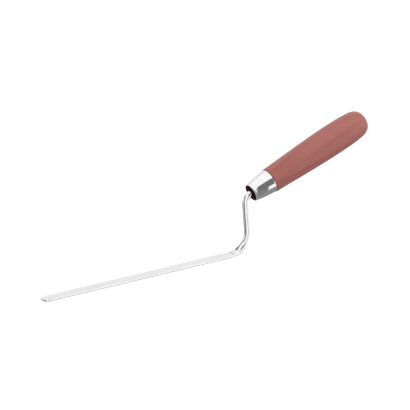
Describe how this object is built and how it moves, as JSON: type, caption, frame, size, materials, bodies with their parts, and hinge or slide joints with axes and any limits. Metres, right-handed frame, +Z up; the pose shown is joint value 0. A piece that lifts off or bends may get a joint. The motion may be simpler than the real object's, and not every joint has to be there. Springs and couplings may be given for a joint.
{
  "type": "tuck pointing trowel",
  "caption": "Long narrow flat steel blade with a round tip, cranked round neck, tapered metal ferrule and turned wooden handle.",
  "frame": {"origin": "centre of the round tip, on the blade's flat underside", "axes": "+X along the blade from the tip towards the handle, +Y across the blade, +Z up from the underside, so the handle rises above the blade"},
  "size_m": [0.3127, 0.025, 0.099],
  "materials": {
    "polished_steel": "bright polished steel with faint lengthwise grinding lines",
    "plated_ferrule": "bright plating, slightly dulled inside the mouth",
    "varnished_wood": "reddish-brown stained hardwood, satin varnish, grain along the handle"
  },
  "bodies": {
    "root": {"blade_and_tang": "polished_steel", "ferrule": "plated_ferrule", "handle": "varnished_wood"}
  },
  "joints": []
}
